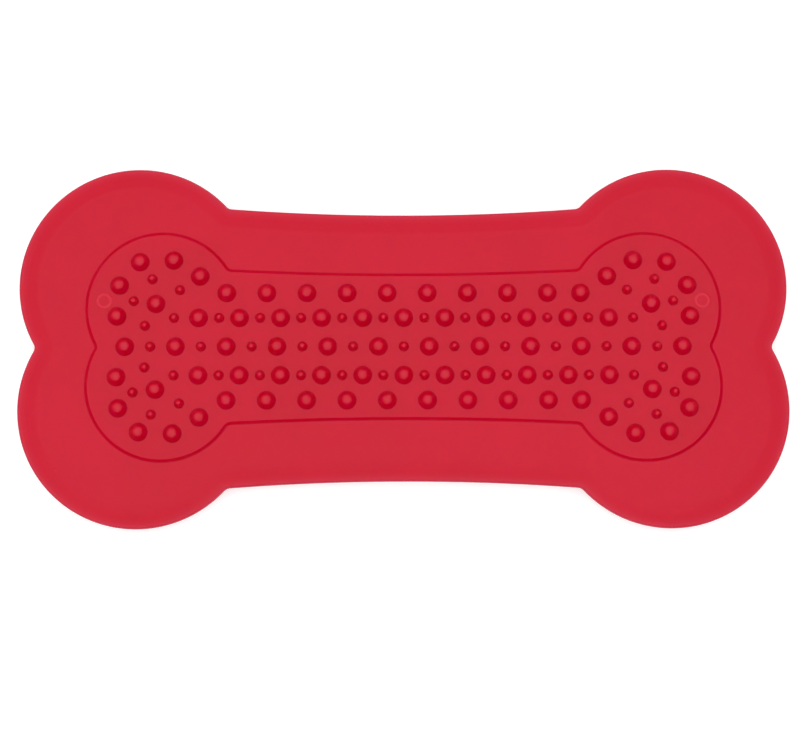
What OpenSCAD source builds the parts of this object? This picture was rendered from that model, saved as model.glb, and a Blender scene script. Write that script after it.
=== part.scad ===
// Bone-shaped lick mat, moulded in soft rubber: a bevelled sheet with a raised lick panel,
// rows of round nubs on the panel and suction cups under the sheet.
// Origin: on the surface that the cups stand on, below the middle of the mat.
// +X runs along the bone, +Y towards its back edge, +Z up through the nubs.

/* [Mat outline] */
// Overall length of the bone
mat_l = 254; // [235:1:280]
// Overall width across the lobes
mat_w = 119.6; // [110:0.1:130]
// Radius of each of the four lobes
lobe_r = 39.4; // [37:0.1:43]
// Width of the shaft at its middle
waist_w = 88.6; // [82:0.1:94]
// Radius of the long hollow curve along each side of the shaft
side_r = 760; // [600:10:1500]

/* [Sheet section] */
// Thickness of the sheet inside the bevel
sheet_t = 3; // [2.4:0.1:4]
// Width of the gentle bevel that runs round the sheet
bevel_w = 6.6; // [4:0.1:9]
// How far the bevel falls from the flat to the edge
bevel_drop = 1; // [0.4:0.05:1.2]
// Rounding of the sheet's upper edge
edge_r = 1; // [0.5:0.05:1.3]
// Small bevel along the sheet's lower edge
foot_c = 0.3; // [0.1:0.05:0.5]

/* [Lick panel] */
// Border between the ends of the mat and of the panel
border_end = 22.15; // [18:0.05:26]
// Border between the sides of the mat and of the panel, across the lobes
border_side = 21.65; // [18:0.05:24]
// Border between the sides of the mat and of the panel, at the waist
border_waist = 20; // [16:0.05:22]
// Radius of the panel's four lobes, at the foot of its wall
panel_lobe_r = 25.35; // [23:0.05:28]
// Radius of the hollow curve along each side of the panel
panel_side_r = 1090; // [700:10:2000]
// Height of the panel above the sheet
panel_h = 0.8; // [0.5:0.05:1.5]
// How far the panel's wall leans inwards over its height
wall_lean = 0.85; // [0.4:0.05:1.1]
// Easing along the panel's upper edge
panel_ease = 0.15; // [0.05:0.05:0.3]

/* [Nubs] */
// Base radius of a large nub
nub_r = 3.05; // [2.4:0.05:3.6]
// Height of a large nub above the panel
nub_h = 3.4; // [2.8:0.05:4.5]
// Slope of a large nub's flank, in degrees
nub_flank = 66; // [60:1:75]
// Base radius of a small nub
small_nub_r = 1.65; // [1.35:0.05:2.1]
// Height of a small nub above the panel
small_nub_h = 2.8; // [2.2:0.05:3.4]
// Slope of a small nub's flank, in degrees
small_nub_flank = 71; // [68:1:78]
// Large nubs in the first and last row
outer_row_count = 10; // [6:1:10]
// Large nubs in the second and fourth row
inner_row_count = 11; // [7:1:11]
// Large nubs in the middle row
middle_row_count = 12; // [8:1:12]

/* [Moulding rings] */
// Outer diameter of the ring marked at each end of the panel
ring_d = 5.3; // [4:0.1:6]
// Inner diameter of that ring
ring_bore = 3.2; // [2:0.1:3.6]
// Height of that ring above the panel
ring_h = 0.15; // [0.1:0.05:0.3]

/* [Suction cups] */
// Radius of a cup at its lip
cup_r = 9.5; // [7.5:0.1:10.3]
// Height of a cup, from its lip to the sheet
cup_h = 5; // [4:0.1:6.5]
// Radius of the neck that joins a cup to the sheet
cup_neck_r = 4.2; // [3:0.1:5]
// Thickness of the lip
cup_lip_t = 0.7; // [0.5:0.05:1]
// Width of the flat ring that a lip stands on
cup_lip_w = 0.5; // [0.3:0.05:0.9]
// Depth of the dish inside a cup
cup_dish = 2; // [1.4:0.05:2.3]
// Distance from a lobe's outermost side to the cup nearest to it
crown_inset = 12.6; // [11.5:0.1:14]
// Cups in each of the three long rows
cup_columns = 9; // [5:2:9]

/* [Hidden] */
$fn = 96;
// Fineness of the long hollow curves
side_fn = 720;
// Overrun of every cut past the face that it leaves
overrun = 1;

// Places as shares of the size that they follow
shaft_end_share = 0.93;
outer_row_end_share = 0.556;
outer_row_step_share = 0.126;
inner_row_end_share = 0.644;
inner_row_tail_share = 0.0768;
middle_row_end_share = 0.8745;
outer_row_y_share = 0.466;
inner_row_y_share = 0.2495;
lobe_nub_shares = [
    [0.64, 0.612], [0.723, 0.752], [0.829, 0.738],
    [0.893, 0.533], [0.9, 0.264], [0.778, 0.372]
];
lobe_small_nub_shares = [[0.703, 0.493], [0.79, 0.588], [0.848, 0.397], [0.812, 0.181]];
ring_end_share = 0.941;
ring_y_share = 0.4;
cup_step_share = 0.0965;
cup_row_share = 0.234;
crown_cup_steps = 3.5;

// Levels
sheet_z = cup_h;
panel_z = sheet_z + sheet_t;
nub_z = panel_z + panel_h;

// Sizes of the lick panel
panel_l = mat_l - 2 * border_end;
panel_w = mat_w - 2 * border_side;
panel_waist_w = waist_w - 2 * border_waist;

// Names of the four quarters of the mat, each with its side in X and in Y
quarters = [
    ["back_left", -1, 1],
    ["back_right", 1, 1],
    ["front_left", -1, -1],
    ["front_right", 1, -1]
];

// Cups: three long rows, counted from the back and the left, then one cup at each lobe's crown
cup_step = cup_step_share * mat_l;
cup_row_y = cup_row_share * mat_w;
cup_places = concat(
    [
        for (row = [0 : 2], column = [0 : cup_columns - 1])
            [
                str("suction_cup_", row + 1, "_", column + 1),
                (column - (cup_columns - 1) / 2) * cup_step,
                (1 - row) * cup_row_y
            ]
    ],
    [
        for (q = quarters)
            [
                str("crown_cup_", q[0]),
                q[1] * crown_cup_steps * cup_step,
                q[2] * (mat_w / 2 - crown_inset)
            ]
    ]
);

mat_red = [0.81, 0.18, 0.25];
panel_red = [0.79, 0.17, 0.24];
nub_red = [0.74, 0.1, 0.18];

// Section through the sheet's rim: how far each point lies inside the outline, and its height
bevel_slope = bevel_drop / bevel_w;
edge_lift = sqrt(1 + bevel_slope * bevel_slope);
edge_z = sheet_t - bevel_drop + edge_r * (bevel_slope - edge_lift);
edge_turn = 90 - atan(bevel_slope);
edge_steps = 5;
sheet_rim = concat(
    [[foot_c, 0], [0, foot_c]],
    [
        for (i = [0 : edge_steps])
            let (a = 180 - edge_turn * i / edge_steps)
                [edge_r + edge_r * cos(a), edge_z + edge_r * sin(a)]
    ],
    [[bevel_w, sheet_t]]
);

// Section through the panel's rim
panel_rim = [
    [0, 0],
    [wall_lean, panel_h - panel_ease],
    [wall_lean + panel_ease, panel_h]
];

function rim_top(rim) = rim[len(rim) - 1][1];

function rim_reach(rim) = rim[len(rim) - 1][0];

// Round plate of radius r with the rim's section round it
module rim_plate(r, rim) {
    rotate_extrude()
        polygon(concat([[0, 0]], [for (p = rim) [r - p[0], p[1]]], [[0, rim_top(rim)]]));
}

// Cutter of radius r, centred on the origin, that leaves the rim's section along a hollow side
module rim_cutter(r, rim, half_angle) {
    top = rim_top(rim) + overrun;
    rotate([0, 0, -90 - half_angle])
        rotate_extrude(angle = 2 * half_angle, $fn = side_fn)
            polygon(concat(
                [[0, -overrun], [r + rim[0][0], -overrun]],
                [for (p = rim) [r + p[0], p[1]]],
                [[r + rim_reach(rim), top], [0, top]]
            ));
}

// Bone-shaped plate: four lobes joined by a shaft with hollow sides
module bone(l, w, r, waist, side, rim) {
    lobe = [l / 2 - r, w / 2 - r];
    slab_x = shaft_end_share * lobe[0];
    slab_y = waist / 2 + side - sqrt(side * side - lobe[0] * lobe[0]);
    union() {
        for (sx = [-1, 1], sy = [-1, 1])
            translate([sx * lobe[0], sy * lobe[1], 0])
                rim_plate(r, rim);
        difference() {
            translate([-slab_x, -slab_y, 0])
                cube([2 * slab_x, 2 * slab_y, rim_top(rim)]);
            for (turn = [0, 180])
                rotate([0, 0, turn])
                    translate([0, waist / 2 + side, 0])
                        rim_cutter(side, rim, asin(lobe[0] / side));
        }
    }
}

module mat_sheet() {
    color(mat_red)
        translate([0, 0, sheet_z])
            bone(mat_l, mat_w, lobe_r, waist_w, side_r, sheet_rim);
}

module lick_panel() {
    color(panel_red)
        translate([0, 0, panel_z])
            bone(panel_l, panel_w, panel_lobe_r, panel_waist_w, panel_side_r, panel_rim);
}

// Section of a nub: a sloping flank, a tight shoulder and a broad crown. The shoulder turns from
// the flank's slope to the crown's, and the crown's radius follows from the nub's radius and height.
shoulder_share = 0.25;
crown_slope = 33;
shoulder_steps = 4;
crown_steps = 3;

function nub_section(r, h, flank) =
    let (
        shoulder_r = shoulder_share * r,
        run = r - shoulder_r * (sin(flank) - sin(crown_slope)),
        rise = h - shoulder_r * (cos(crown_slope) - cos(flank)),
        crown_r = (run - rise / tan(flank))
            / (sin(crown_slope) - (1 - cos(crown_slope)) / tan(flank)),
        axis_r = (crown_r - shoulder_r) * sin(crown_slope),
        axis_z = h - crown_r + (crown_r - shoulder_r) * cos(crown_slope)
    )
    concat(
        [[0, 0], [r, 0]],
        [
            for (i = [0 : shoulder_steps])
                let (a = flank + (crown_slope - flank) * i / shoulder_steps)
                    [axis_r + shoulder_r * sin(a), axis_z + shoulder_r * cos(a)]
        ],
        [
            for (i = [1 : crown_steps])
                let (a = crown_slope * (1 - i / crown_steps))
                    [crown_r * sin(a), h - crown_r * (1 - cos(a))]
        ]
    );

// Nubs that stand on the panel at the given places
module nubs(places, r, h, flank) {
    color(nub_red)
        for (place = places)
            translate([place[0], place[1], nub_z])
                rotate_extrude()
                    polygon(nub_section(r, h, flank));
}

module large_nubs(places) {
    nubs(places, nub_r, nub_h, nub_flank);
}

module small_nubs(places) {
    nubs(places, small_nub_r, small_nub_h, small_nub_flank);
}

// Places along a row of n nubs that ends at -reach and reach, at height y on the panel
function even_row(n, reach, y) = [for (i = [0 : n - 1]) [reach * (2 * i / (n - 1) - 1), y]];

// The outer rows step evenly from the left and close with a nub at the right end
function outer_row(y) =
    let (
        reach = outer_row_end_share * panel_l / 2,
        step = outer_row_step_share * panel_l / 2
    )
    concat([for (i = [0 : outer_row_count - 2]) [i * step - reach, y]], [[reach, y]]);

function row_y(row) =
    let (share = abs(3 - row) == 2 ? outer_row_y_share : inner_row_y_share)
    sign(3 - row) * (row == 3 ? 0 : share * panel_w / 2);

function row_reach(row) = (row == 3 ? middle_row_end_share : inner_row_end_share) * panel_l / 2;

function row_count(row) = row == 3 ? middle_row_count : inner_row_count;

module nub_row(row) {
    outer = row == 1 || row == 5;
    places = outer ? outer_row(row_y(row)) : even_row(row_count(row), row_reach(row), row_y(row));
    large_nubs(places);
}

// Small nubs stand midway between the large ones, and beyond the ends of rows 2 and 4
module small_nub_row(row) {
    gaps = row_count(row) - 1;
    reach = row_reach(row);
    tail = reach + inner_row_tail_share * panel_l / 2;
    between = even_row(gaps, reach * (gaps - 1) / gaps, row_y(row));
    ends = row == 3 ? [] : [[-tail, row_y(row)], [tail, row_y(row)]];
    small_nubs(concat(between, ends));
}

// Places in one quarter of the panel, as shares of its half length and half width
function quarter_places(q, shares) = [
    for (share = shares)
        [q[1] * share[0] * panel_l / 2, q[2] * share[1] * panel_w / 2]
];

module nub_lobe(q) {
    large_nubs(quarter_places(q, lobe_nub_shares));
}

module small_nub_lobe(q) {
    small_nubs(quarter_places(q, lobe_small_nub_shares));
}

// Faint raised rings that the mould's pins leave near the two ends of the panel
module moulding_rings() {
    color(panel_red)
        for (side = [-1, 1])
            translate([
                side * ring_end_share * panel_l / 2,
                ring_y_share * panel_w / 2,
                nub_z
            ])
                difference() {
                    cylinder(h = ring_h, d = ring_d);
                    translate([0, 0, -overrun])
                        cylinder(h = ring_h + 2 * overrun, d = ring_bore);
                }
}

// Section of a suction cup: a trumpet-shaped skirt outside and a shallow dish inside
cup_steps = 8;
cup_skirt = [
    for (i = [0 : cup_steps])
        let (a = 90 * i / cup_steps)
            [
                cup_neck_r + (cup_r - cup_neck_r) * (1 - cos(a)),
                cup_h - (cup_h - cup_lip_t) * sin(a)
            ]
];
cup_hollow = [
    for (i = [0 : cup_steps])
        let (share = 1 - i / cup_steps)
            [(cup_r - cup_lip_w) * share, cup_dish * (1 - share * share)]
];

module suction_cup(x, y) {
    color(mat_red)
        translate([x, y, 0])
            rotate_extrude()
                polygon(concat([[0, cup_h]], cup_skirt, [[cup_r, 0]], cup_hollow));
}

mat_sheet();
lick_panel();
moulding_rings();
for (row = [1 : 5])
    nub_row(row);
for (row = [2 : 4])
    small_nub_row(row);
for (q = quarters)
    nub_lobe(q);
for (q = quarters)
    small_nub_lobe(q);
for (place = cup_places)
    suction_cup(place[1], place[2]);
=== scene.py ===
"""Looks of a bone-shaped silicone lick mat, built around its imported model.

The mat's outlines and sections are in millimetres, and new_piece turns them into metres. The
camera, the lamps and the floor are in metres."""

import math

import bmesh
import bpy
from mathutils import Euler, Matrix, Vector


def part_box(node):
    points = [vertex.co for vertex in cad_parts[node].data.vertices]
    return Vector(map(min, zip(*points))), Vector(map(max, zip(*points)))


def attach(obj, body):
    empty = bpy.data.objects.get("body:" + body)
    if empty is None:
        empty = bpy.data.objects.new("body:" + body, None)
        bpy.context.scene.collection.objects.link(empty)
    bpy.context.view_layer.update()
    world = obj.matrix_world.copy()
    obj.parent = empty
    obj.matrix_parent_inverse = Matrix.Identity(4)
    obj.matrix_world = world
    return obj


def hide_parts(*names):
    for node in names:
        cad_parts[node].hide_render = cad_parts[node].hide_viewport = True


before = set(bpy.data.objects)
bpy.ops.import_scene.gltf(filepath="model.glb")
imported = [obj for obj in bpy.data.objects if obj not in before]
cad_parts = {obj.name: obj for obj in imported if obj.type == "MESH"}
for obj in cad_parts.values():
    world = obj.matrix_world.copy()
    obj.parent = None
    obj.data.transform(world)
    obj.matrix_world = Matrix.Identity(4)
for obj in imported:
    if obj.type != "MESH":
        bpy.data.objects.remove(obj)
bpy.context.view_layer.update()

MM = 0.001

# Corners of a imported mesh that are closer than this, in metres, are one corner
WELD = 1e-6

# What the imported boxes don't give of the two bone outlines: the lobes' radius, the width at the
# waist, and the radii of the hollow sides and of the rounded inner corners
SHEET_OUTLINE = {"lobe_r": 39.4, "waist_w": 88.6, "side_r": 760, "corner_r": 2.5}
PANEL_OUTLINE = {"lobe_r": 25.35, "waist_w": 48.6, "side_r": 1090, "corner_r": 2.0}

# Distance between the points of an outline, and the fewest steps of one of its arcs
SHEET_STEP = 1.2
PANEL_STEP = 1.0
LEAST_STEPS = 3

# The sheet's rim: the bevel, which steepens towards the edge by the power BEVEL_CURVE, the round
# below it, the round at the foot, and a margin that keeps the underside's shading flat
BEVEL_W = 6.6
BEVEL_DROP = 1.0
BEVEL_CURVE = 1.25
EDGE_R = 1.0
FOOT_R = 0.3
FOOT_MARGIN = 0.6

# The panel's wall: its lean, the round of its upper edge, a margin on the flat top, and the
# flare at its foot
WALL_LEAN = 0.96
WALL_EASE = 0.16
WALL_MARGIN = 0.48
WALL_FLARE = 0.16

# The flare's middle as shares of its width and of the wall's height, and the points on the slope
FLARE_MIDDLE = (1 / 3, 0.04)
WALL_SHARES = (0.12, 0.36, 0.6)

# How far the panel and the rings reach into what carries them
SINK = 0.02

# Nubs: the slopes of the flank and of the crown's rim in degrees, and the sides of a turned nub
LARGE_NUB = {"flank": 65, "crown": 33, "sides": 64}
SMALL_NUB = {"flank": 71, "crown": 38, "sides": 48}

# The shoulder's radius as a share of a nub's, the fillet at its foot and the depth of its root
SHOULDER_SHARE = 0.25
NUB_FILLET = 0.1
NUB_ROOT = 0.6

# The width of a moulding ring's band
RING_BAND = 1.05
RING_SIDES = 96

# Suction cups: the neck's radius, the lip's thickness and width, and the dish's depth
NECK_R = 4.2
LIP_T = 0.7
LIP_W = 0.5
DISH = 2.0
CUP_SIDES = 96

# Steps of the curves in the sections
FOOT_STEPS = 4
SIDE_STEPS = 3
EDGE_STEPS = 10
BEVEL_STEPS = 16
EASE_STEPS = 5
FILLET_STEPS = 4
SHOULDER_STEPS = 8
CROWN_STEPS = 8
BEAD_STEPS = 16
CUP_STEPS = 20
LIP_STEPS = 6

QUARTERS = ("back_left", "back_right", "front_left", "front_right")
LARGE_NUB_NODES = [f"nub_row_{row}" for row in range(1, 6)]
LARGE_NUB_NODES += [f"nub_lobe_{quarter}" for quarter in QUARTERS]
SMALL_NUB_NODES = [f"small_nub_row_{row}" for row in range(2, 5)]
SMALL_NUB_NODES += [f"small_nub_lobe_{quarter}" for quarter in QUARTERS]
CUP_NODES = [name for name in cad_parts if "_cup_" in name]


class Box:
    """The box of a node or solid, from its lowest and highest corner in millimetres."""

    def __init__(self, low, high):
        self.length, self.width, self.height = (b - a for a, b in zip(low, high))
        self.x, self.y = (low[0] + high[0]) / 2, (low[1] + high[1]) / 2
        self.base, self.top = low[2], high[2]
        self.radius = self.length / 2


def node_box(node):
    """The box of a whole node."""
    low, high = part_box(node)
    return Box([value / MM for value in low], [value / MM for value in high])


def solid_boxes(node):
    """The boxes of the separate solids in a node, from left to right."""
    bm = bmesh.new()
    bm.from_mesh(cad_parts[node].data)
    bmesh.ops.remove_doubles(bm, verts=bm.verts, dist=WELD)
    left = set(bm.verts)
    found = []
    while left:
        stack = [left.pop()]
        group = []
        while stack:
            vert = stack.pop()
            group.append(vert.co / MM)
            for edge in vert.link_edges:
                other = edge.other_vert(vert)
                if other in left:
                    left.remove(other)
                    stack.append(other)
        low = [min(co[axis] for co in group) for axis in range(3)]
        high = [max(co[axis] for co in group) for axis in range(3)]
        found.append((low, high))
    bm.free()
    return [Box(low, high) for low, high in sorted(found)]


def heading(a, b):
    """Direction from point a to point b."""
    return math.atan2(b[1] - a[1], b[0] - a[0])


def arc(centre, radius, start, end, steps):
    """Points along an arc, with both its ends."""
    angles = [start + (end - start) * i / steps for i in range(steps + 1)]
    x, y = centre
    return [(x + radius * math.cos(angle), y + radius * math.sin(angle)) for angle in angles]


class Bone:
    """A bone's outline with rounded corners, and the same outline drawn in by an inset."""

    def __init__(self, length, width, lobe_r, waist_w, side_r, corner_r):
        self.lobe = (length / 2 - lobe_r, width / 2 - lobe_r)
        self.side = (0.0, waist_w / 2 + side_r)
        self.lobe_r = lobe_r
        self.side_r = side_r
        self.corner_r = corner_r
        reach = lobe_r + corner_r
        self.notch = (self.lobe[0] + math.sqrt(reach**2 - self.lobe[1] ** 2), 0.0)
        self.neck = self.meeting(self.lobe, reach, self.side, side_r - corner_r)

    @staticmethod
    def meeting(a, ra, b, rb):
        """The point on the left of the way from a to b, ra from a and rb from b."""
        dx, dy = b[0] - a[0], b[1] - a[1]
        gap = math.hypot(dx, dy)
        along = (ra**2 - rb**2 + gap**2) / (2 * gap)
        aside = math.sqrt(ra**2 - along**2)
        ux, uy = dx / gap, dy / gap
        return (a[0] + along * ux - aside * uy, a[1] + along * uy + aside * ux)

    def quarter(self, inset, step):
        """Points from the notch on +X to the waist on +Y."""
        lobe, side, notch, neck = self.lobe, self.side, self.notch, self.neck
        to_neck = heading(side, neck)
        arcs = [
            (notch, self.corner_r, 1, math.pi, heading(notch, lobe)),
            (lobe, self.lobe_r, -1, heading(lobe, notch), heading(lobe, neck)),
            (neck, self.corner_r, 1, heading(neck, lobe), to_neck),
            (side, self.side_r, 1, to_neck, -math.pi / 2),
        ]
        points = []
        for centre, radius, sense, start, end in arcs:
            steps = max(LEAST_STEPS, round(abs(end - start) * radius / step))
            points += arc(centre, radius + sense * inset, start, end, steps)[:-1]
        points.append((0.0, side[1] - self.side_r - inset))
        return points

    def loop(self, inset, step):
        """The whole outline, anticlockwise from the notch on +X."""
        quarter = self.quarter(inset, step)
        top = quarter + [(-x, y) for x, y in reversed(quarter[:-1])]
        bottom = [(x, -y) for x, y in reversed(top[1:-1])]
        return top + bottom


def new_object(name, bm, material):
    """Makes a smooth-shaded object of a bmesh in metres."""
    mesh = bpy.data.meshes.new(name)
    bm.to_mesh(mesh)
    bm.free()
    mesh.polygons.foreach_set("use_smooth", [True] * len(mesh.polygons))
    made = bpy.data.objects.new(name, mesh)
    bpy.context.scene.collection.objects.link(made)
    made.data.materials.append(material)
    return made


def new_piece(name, bm, node, material):
    """Makes a piece of a bmesh in millimetres that stands for a node."""
    bmesh.ops.recalc_face_normals(bm, faces=bm.faces)
    bmesh.ops.scale(bm, vec=Vector((MM, MM, MM)), verts=bm.verts)
    piece = new_object(name, bm, material)
    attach(piece, "root")
    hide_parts(node)


def loft(bm, bone, section, base, step):
    """Skins a bone's outline along a section of (inset, height) pairs above a base, and closes
    both ends."""
    rings = []
    for inset, height in section:
        rings.append([bm.verts.new((x, y, base + height)) for x, y in bone.loop(inset, step)])
    for lower, upper in zip(rings, rings[1:]):
        for i in range(len(lower)):
            j = (i + 1) % len(lower)
            bm.faces.new((lower[i], lower[j], upper[j], upper[i]))
    bm.faces.new(list(reversed(rings[0])))
    bm.faces.new(rings[-1])


def revolve(bm, x, y, section, sides, closed=False):
    """Turns a section of (radius, height) pairs about the upright axis at x, y.
    A radius of zero closes an end in a point, and closed joins the last pair to the first."""
    rings = []
    for radius, height in section:
        if radius == 0:
            rings.append([bm.verts.new((x, y, height))])
        else:
            points = arc((x, y), radius, 0, 2 * math.pi, sides)[:-1]
            rings.append([bm.verts.new((*point, height)) for point in points])
    following = rings[1:] + (rings[:1] if closed else [])
    for a, b in zip(rings, following):
        for i in range(sides):
            j = (i + 1) % sides
            corners = [a[i % len(a)], a[j % len(a)], b[j % len(b)], b[i % len(b)]]
            bm.faces.new(list(dict.fromkeys(corners)))


def sheet_section(thickness):
    """The sheet's rim as (inset, height) pairs, from the underside to the flat top."""
    tilt = math.atan(BEVEL_CURVE * BEVEL_DROP / BEVEL_W)
    round_z = thickness - BEVEL_DROP - EDGE_R
    pairs = [(FOOT_R + FOOT_MARGIN, 0.0)]
    pairs += arc((FOOT_R, FOOT_R), FOOT_R, -math.pi / 2, -math.pi, FOOT_STEPS)
    for i in range(1, SIDE_STEPS):
        pairs.append((0.0, FOOT_R + (round_z - FOOT_R) * i / SIDE_STEPS))
    pairs += arc((EDGE_R, round_z), EDGE_R, math.pi, math.pi / 2 + tilt, EDGE_STEPS)
    join, join_z = pairs[-1]
    for i in range(1, BEVEL_STEPS + 1):
        share = i / BEVEL_STEPS
        climb = 1 - (1 - share) ** BEVEL_CURVE
        pairs.append((join + (BEVEL_W - join) * share, join_z + (thickness - join_z) * climb))
    return pairs


def panel_section(height):
    """The panel's wall as (inset, height) pairs: a flare, an even slope and a rounded edge."""
    slope = math.atan2(height, WALL_LEAN)
    out, up = FLARE_MIDDLE
    pairs = [(-WALL_FLARE, -SINK), (-WALL_FLARE * out, height * up)]
    pairs += [(WALL_LEAN * share, height * share) for share in WALL_SHARES]
    centre = (WALL_LEAN + WALL_EASE * math.tan(slope / 2), height - WALL_EASE)
    pairs += arc(centre, WALL_EASE, math.pi / 2 + slope, math.pi / 2, EASE_STEPS)
    pairs.append((WALL_LEAN + WALL_MARGIN, height))
    return pairs


def nub_section(box, flank, crown):
    """A nub: a small fillet at its foot, a sloping flank, a tight shoulder and a broad crown."""
    flank = math.radians(flank)
    crown = math.radians(crown)
    root_z = box.base - NUB_ROOT
    section = [(0, root_z), (box.radius + NUB_FILLET, root_z)]
    centre = (box.radius + NUB_FILLET * math.tan(flank / 2), box.base + NUB_FILLET)
    section += arc(centre, NUB_FILLET, -math.pi / 2, -math.pi / 2 - flank, FILLET_STEPS)

    # The crown's radius follows from the nub's radius and height and from the two slopes
    shoulder_r = SHOULDER_SHARE * box.radius
    run = box.radius - shoulder_r * (math.sin(flank) - math.sin(crown))
    rise = box.height - shoulder_r * (math.cos(crown) - math.cos(flank))
    factor = math.sin(crown) - (1 - math.cos(crown)) / math.tan(flank)
    crown_r = (run - rise / math.tan(flank)) / factor
    inner_r = crown_r - shoulder_r
    crown_z = box.top - crown_r
    centre = (inner_r * math.sin(crown), crown_z + inner_r * math.cos(crown))
    upright = math.pi / 2
    section += arc(centre, shoulder_r, upright - flank, upright - crown, SHOULDER_STEPS)[:-1]
    section += arc((0, crown_z), crown_r, upright - crown, upright, CROWN_STEPS)[:-1]
    section.append((0, box.top))
    return section


def bead_section(box):
    """A moulding ring: a low bead with a soft swell."""
    inner_r = box.radius - RING_BAND
    section = [(box.radius, box.base - SINK), (inner_r, box.base - SINK)]
    for i in range(BEAD_STEPS + 1):
        share = i / BEAD_STEPS
        swell = math.sin(math.pi * share)
        section.append((inner_r + RING_BAND * share, box.base + box.height * swell))
    return section


def cup_section(box):
    """A suction cup, down its trumpet-shaped skirt, round its lip and up its shallow dish."""
    section = [(0, box.top)]
    for i in range(CUP_STEPS):
        angle = math.pi / 2 * i / CUP_STEPS
        radius = NECK_R + (box.radius - NECK_R) * (1 - math.cos(angle))
        section.append((radius, box.top - (box.top - LIP_T) * math.sin(angle)))
    for i in range(LIP_STEPS):
        angle = math.pi / 2 - math.pi * i / LIP_STEPS
        radius = box.radius - LIP_W / 2 * (1 - math.cos(angle))
        section.append((radius, LIP_T / 2 * (1 + math.sin(angle))))
    dish_r = box.radius - LIP_W
    for i in range(CUP_STEPS + 1):
        share = 1 - i / CUP_STEPS
        section.append((dish_r * share, DISH * (1 - share**2)))
    return section


def grey(value):
    return (value, value, value, 1.0)


class NodeTree:
    """Short calls for building a tree of shader nodes."""

    def __init__(self, tree):
        self.tree = tree

    def node(self, kind, **settings):
        made = self.tree.nodes.new(kind)
        for key, value in settings.items():
            setattr(made, key, value)
        return made

    def link(self, source, target):
        self.tree.links.new(source, target)

    def combine(self, operation, a, b):
        """A math operation on two outputs."""
        made = self.node("ShaderNodeMath", operation=operation)
        self.link(a, made.inputs[0])
        self.link(b, made.inputs[1])
        return made.outputs["Value"]

    def rays(self, *kinds):
        """One for rays of the given kinds, and zero for all others."""
        path = self.node("ShaderNodeLightPath")
        found = path.outputs[kinds[0]]
        for kind in kinds[1:]:
            found = self.combine("MAXIMUM", found, path.outputs[kind])
        return found

    def remap(self, factor, low, high, start=0.0, end=1.0):
        """Maps start..end to low..high."""
        made = self.node("ShaderNodeMapRange")
        made.inputs["From Min"].default_value = start
        made.inputs["From Max"].default_value = end
        made.inputs["To Min"].default_value = low
        made.inputs["To Max"].default_value = high
        self.link(factor, made.inputs["Value"])
        return made.outputs["Result"]


# Where a Mix node keeps its two colours and the mixed one
COLOUR_A, COLOUR_B, MIXED = 6, 7, 2


class Shader(NodeTree):
    """The nodes of one material."""

    def __init__(self, name):
        self.material = bpy.data.materials.new(name)
        self.material.use_nodes = True
        super().__init__(self.material.node_tree)
        self.principled = self.tree.nodes["Principled BSDF"]

    def surface(self, socket, value):
        """Sets one of the shader's own sockets."""
        self.principled.inputs[socket].default_value = value

    def noise(self, coordinates, scale, detail, roughness):
        made = self.node("ShaderNodeTexNoise")
        made.inputs["Scale"].default_value = scale
        made.inputs["Detail"].default_value = detail
        made.inputs["Roughness"].default_value = roughness
        self.link(coordinates, made.inputs["Vector"])
        return made.outputs["Fac"]

    def ramp(self, factor, stops):
        made = self.node("ShaderNodeValToRGB")
        ramp = made.color_ramp
        ramp.elements[0].position, ramp.elements[0].color = stops[0]
        ramp.elements[1].position, ramp.elements[1].color = stops[-1]
        for position, colour in stops[1:-1]:
            ramp.elements.new(position).color = colour
        self.link(factor, made.inputs["Fac"])
        return made.outputs["Color"]

    def mix(self, factor, a, b):
        made = self.node("ShaderNodeMix", data_type="RGBA")
        self.link(factor, made.inputs["Factor"])
        self.link(a, made.inputs[COLOUR_A])
        self.link(b, made.inputs[COLOUR_B])
        return made.outputs[MIXED]

    def bump(self, height, strength, distance):
        made = self.node("ShaderNodeBump")
        made.inputs["Strength"].default_value = strength
        made.inputs["Distance"].default_value = distance
        self.link(height, made.inputs["Height"])
        return made


# Scale, detail and roughness of the noises in the silicone: clouds in the pigment, the skin's
# gloss, the moulded grain, the skin's faint ripple, and where dust lies
CLOUD = (38.0, 4.0, 0.55)
SKIN = (900.0, 3.0, 0.6)
GRAIN = (5200.0, 2.0, 0.5)
RIPPLE = (95.0, 2.0, 0.4)
DUSTY = (610.0, 1.0, 0.5)

# Where the pigment turns from deep to base, how far the roughness varies either way, and the
# strength and the depth in metres of both bumps
CLOUD_EDGES = (0.36, 0.64)
ROUGH_SPREAD = 0.06
GRAIN_BUMP = (0.22, 0.00002)
RIPPLE_BUMP = (0.25, 0.00012)

# Dust: the scale of its specks, their size, where they are and how faint, and their two colours
SPECK_SCALE = 420.0
SPECK_STOPS = [(0.035, grey(1.0)), (0.06, grey(0.0))]
DUSTY_STOPS = [(0.66, grey(0.0)), (0.7, grey(0.16))]
LINT_STOPS = [(0.0, (0.78, 0.36, 0.36, 1.0)), (1.0, (0.82, 0.42, 0.42, 1.0))]

# How strongly the sheet's rim is painted, by share of the sheet's thickness, and its colours:
# painted shade low on the edge's round and a painted sheen at the round's top
RIM_PAINT_STRENGTH = [(0.33, 0.0), (0.48, 1.0), (0.65, 1.0), (0.71, 0.5), (0.75, 0.25), (0.83, 0.0)]
RIM_SHADE_AND_SHEEN = [(0.48, (0.46, 0.034, 0.078)), (0.66, (0.62, 0.021, 0.054))]

# Silicone's index of refraction, and how far red, green and blue light goes in it
SILICONE_IOR = 1.4
LIGHT_REACH = (1.0, 0.12, 0.1)


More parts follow.
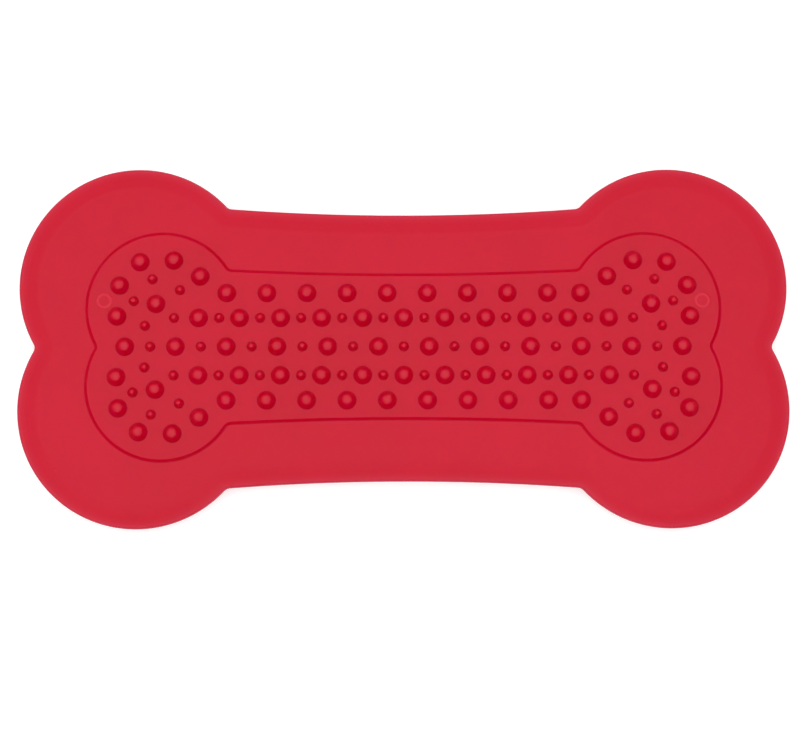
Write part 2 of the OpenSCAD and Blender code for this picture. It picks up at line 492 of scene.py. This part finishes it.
def silicone(name, base, deep, rough, shine, depth, rim=None):
    """Soft red silicone: cloudy pigment, a satin skin, fine moulded grain and a little dust.
    Base and deep are the pigment's colours, rough and shine its gloss, depth how far light goes
    in, in millimetres, and rim the box of a sheet whose rim gets painted shade and a painted
    sheen."""
    s = Shader(name)
    place = s.node("ShaderNodeTexCoord").outputs["Object"]
    cloud = s.noise(place, *CLOUD)
    pigment = s.ramp(cloud, list(zip(CLOUD_EDGES, ((*deep, 1.0), (*base, 1.0)))))

    specks = s.node("ShaderNodeTexVoronoi", feature="F1")
    specks.inputs["Scale"].default_value = SPECK_SCALE
    s.link(place, specks.inputs["Vector"])
    speck = s.ramp(specks.outputs["Distance"], SPECK_STOPS)
    dusty = s.ramp(s.noise(place, *DUSTY), DUSTY_STOPS)
    lint = s.ramp(cloud, LINT_STOPS)
    colour = s.mix(s.combine("MULTIPLY", speck, dusty), pigment, lint)
    # Painted shade low on the sheet's rounded edge and a painted sheen at the round's top, by
    # height
    if rim:
        height = s.node("ShaderNodeSeparateXYZ")
        s.link(place, height.inputs["Vector"])
        share = s.remap(height.outputs["Z"], 0.0, 1.0, rim.base * MM, rim.top * MM)
        painted_strength = s.ramp(share, [(at, grey(value)) for at, value in RIM_PAINT_STRENGTH])
        shade_and_sheen = s.ramp(share, [(at, (*value, 1.0)) for at, value in RIM_SHADE_AND_SHEEN])
        colour = s.mix(painted_strength, colour, shade_and_sheen)
    s.link(colour, s.principled.inputs["Base Color"])

    skin = s.remap(s.noise(place, *SKIN), rough - ROUGH_SPREAD, rough + ROUGH_SPREAD)
    s.link(skin, s.principled.inputs["Roughness"])
    grain = s.bump(s.noise(place, *GRAIN), *GRAIN_BUMP)
    ripple = s.bump(s.noise(place, *RIPPLE), *RIPPLE_BUMP)
    s.link(grain.outputs["Normal"], ripple.inputs["Normal"])
    s.link(ripple.outputs["Normal"], s.principled.inputs["Normal"])

    s.surface("IOR", SILICONE_IOR)
    s.surface("Specular IOR Level", shine)
    s.surface("Subsurface Weight", 1.0 if depth else 0.0)
    s.surface("Subsurface Radius", LIGHT_REACH)
    s.surface("Subsurface Scale", depth * MM)
    return s.material


sheet_box = node_box("mat_sheet")
panel_box = node_box("lick_panel")

# A silicone for each kind of piece, nearly alike in pigment, with a gloss and depth of its own.
# The panel's and the nubs' pigment is a little darker than the sheet's, painted shade, and the
# rings' a little lighter, a painted glint
sheet_red = silicone(
    "Silicone_sheet", base=(0.60, 0.001, 0.026), deep=(0.58, 0.001, 0.023),
    rough=0.24, shine=0.315, depth=0.5, rim=sheet_box,
)
# Pigment a little darker than the sheet's: painted shade
panel_red = silicone(
    "Silicone_panel", base=(0.585, 0.001, 0.025), deep=(0.565, 0.001, 0.022),
    rough=0.22, shine=0.31, depth=0.15,
)
# Pigment a little darker than the sheet's: painted shade
nub_red = silicone(
    "Silicone_nubs", base=(0.585, 0.0005, 0.024), deep=(0.565, 0.0005, 0.021),
    rough=0.14, shine=0.5, depth=0.8,
)
# Pigment a little lighter than the sheet's: a painted glint
ring_red = silicone(
    "Silicone_rings", base=(0.62, 0.0015, 0.028), deep=(0.60, 0.0015, 0.026),
    rough=0.2, shine=0.52, depth=0,
)
cup_red = silicone(
    "Silicone_cups", base=(0.60, 0.004, 0.026), deep=(0.575, 0.003, 0.023),
    rough=0.36, shine=0.5, depth=0.5,
)

# Sheet
bm = bmesh.new()
bone = Bone(sheet_box.length, sheet_box.width, **SHEET_OUTLINE)
loft(bm, bone, sheet_section(sheet_box.height), sheet_box.base, SHEET_STEP)
new_piece("Sheet", bm, "mat_sheet", sheet_red)

# Lick panel
bm = bmesh.new()
bone = Bone(panel_box.length, panel_box.width, **PANEL_OUTLINE)
loft(bm, bone, panel_section(panel_box.height), panel_box.base, PANEL_STEP)
new_piece("Lick_panel", bm, "lick_panel", panel_red)

# Moulding rings
bm = bmesh.new()
for box in solid_boxes("moulding_rings"):
    revolve(bm, box.x, box.y, bead_section(box), RING_SIDES, closed=True)
new_piece("Moulding_rings", bm, "moulding_rings", ring_red)

# Nubs
for nodes, kind in ((LARGE_NUB_NODES, LARGE_NUB), (SMALL_NUB_NODES, SMALL_NUB)):
    for node in nodes:
        bm = bmesh.new()
        for box in solid_boxes(node):
            section = nub_section(box, kind["flank"], kind["crown"])
            revolve(bm, box.x, box.y, section, kind["sides"])
        new_piece(node.capitalize(), bm, node, nub_red)

# Suction cups. Where a node's name says crown, its piece's name says lobe
for node in CUP_NODES:
    bm = bmesh.new()
    box = node_box(node)
    revolve(bm, box.x, box.y, cup_section(box), CUP_SIDES)
    new_piece(node.replace("crown", "lobe").capitalize(), bm, node, cup_red)

# Camera: almost straight above, tipped a little towards the front. It turns about a point at the
# height AIM_Z and stands off from it by DISTANCE. The lens and the sensor are in millimetres
TILT = math.radians(7.8)
LEAN = math.radians(-0.5)
ROLL = math.radians(-0.143)
DISTANCE = 0.7782
AIM_Z = 0.008
LENS = 106.4
SENSOR_W = 36.0
SHIFT = (-0.00474, -0.02413)
CLIP = (0.05, 50.0)
facing = Euler((TILT, LEAN, ROLL), "XYZ")
camera = bpy.data.objects.new("Camera", bpy.data.cameras.new("Camera"))
bpy.context.scene.collection.objects.link(camera)
camera.rotation_euler = facing
camera.location = Vector((0.0, 0.0, AIM_Z)) + facing.to_matrix() @ Vector((0.0, 0.0, DISTANCE))
camera.data.lens = LENS
camera.data.sensor_width = SENSOR_W
camera.data.shift_x, camera.data.shift_y = SHIFT
camera.data.clip_start, camera.data.clip_end = CLIP
bpy.context.scene.camera = camera

# Lamps: one large soft box overhead, a little behind and to the left, and a small weak one just
# under it, more to the front, whose reflection stops at the bevels behind and on the right.
# Each has a name, a shape, a length, a width, its watts and its place
LAMPS = (
    ("Softbox", "DISK", 4.8, 4.8, 65.0, (-0.26, 0.17, 1.5)),
    ("Front_box", "RECTANGLE", 1.26, 1.0, 1.66, (-0.05, 0.05, 1.49)),
)
for name, shape, length, width, watts, place in LAMPS:
    light = bpy.data.lights.new(name, "AREA")
    light.shape = shape
    light.size = length
    light.size_y = width
    light.energy = watts
    lamp = bpy.data.objects.new(name, light)
    bpy.context.scene.collection.objects.link(lamp)
    lamp.location = place

# World: a weak fill for matt light, white to the camera, and left out of the rubber's reflections
WORLD_FILL = 0.25
world = bpy.data.worlds.new("World")
bpy.context.scene.world = world
world.use_nodes = True
sky = NodeTree(world.node_tree)
surround = sky.tree.nodes["Background"]
surround.inputs["Color"].default_value = grey(1.0)
seen = sky.rays("Is Camera Ray", "Is Transmission Ray")
sky.link(sky.remap(seen, WORLD_FILL, 1.0), surround.inputs["Strength"])
world.cycles_visibility.glossy = False

# Floor: a wide pale disc just under the cups. Its glow, as seen, grows from GLOW_NEAR to GLOW_FAR
# between the distances GLOW_START and GLOW_END from the middle. UNDERLIGHT is its weaker glow,
# which lights the object from below
FLOOR_Z = -0.0002
FLOOR_RADII = (6.0, 3.0, 1.5, 0.7, 0.3, 0)
FLOOR_SIDES = 96
FLOOR_GREY = 0.8
FLOOR_ROUGH = 0.9
GLOW_NEAR, GLOW_FAR = 0.45, 1.0
GLOW_START, GLOW_END = 0.2, 2.5
UNDERLIGHT = 0.35


def floor_material():
    """Pale grey that keeps the object's shadow, with a glow that turns it white to the camera.
    The floor can be seen through from below."""
    s = Shader("Floor")
    s.surface("Base Color", grey(FLOOR_GREY))
    s.surface("Roughness", FLOOR_ROUGH)
    s.surface("Emission Color", grey(1.0))
    reach = s.node("ShaderNodeVectorMath", operation="LENGTH")
    s.link(s.node("ShaderNodeTexCoord").outputs["Object"], reach.inputs[0])
    glow = s.remap(reach.outputs["Value"], GLOW_NEAR, GLOW_FAR, GLOW_START, GLOW_END)
    level = s.node("ShaderNodeMix", data_type="FLOAT")
    level.inputs["A"].default_value = UNDERLIGHT
    seen = s.rays("Is Camera Ray", "Is Glossy Ray", "Is Transmission Ray")
    s.link(seen, level.inputs["Factor"])
    s.link(glow, level.inputs["B"])
    s.link(level.outputs["Result"], s.principled.inputs["Emission Strength"])

    clear = s.node("ShaderNodeBsdfTransparent")
    sided = s.node("ShaderNodeMixShader")
    s.link(s.node("ShaderNodeNewGeometry").outputs["Backfacing"], sided.inputs["Fac"])
    s.link(s.principled.outputs["BSDF"], sided.inputs[1])
    s.link(clear.outputs["BSDF"], sided.inputs[2])
    s.link(sided.outputs["Shader"], s.tree.nodes["Material Output"].inputs["Surface"])
    return s.material


bm = bmesh.new()
revolve(bm, 0.0, 0.0, [(radius, FLOOR_Z) for radius in FLOOR_RADII], FLOOR_SIDES)
bm.normal_update()
bmesh.ops.reverse_faces(bm, faces=[face for face in bm.faces if face.normal.z < 0])
floor = new_object("Floor", bm, floor_material())

bpy.context.scene.view_settings.view_transform = "Standard"
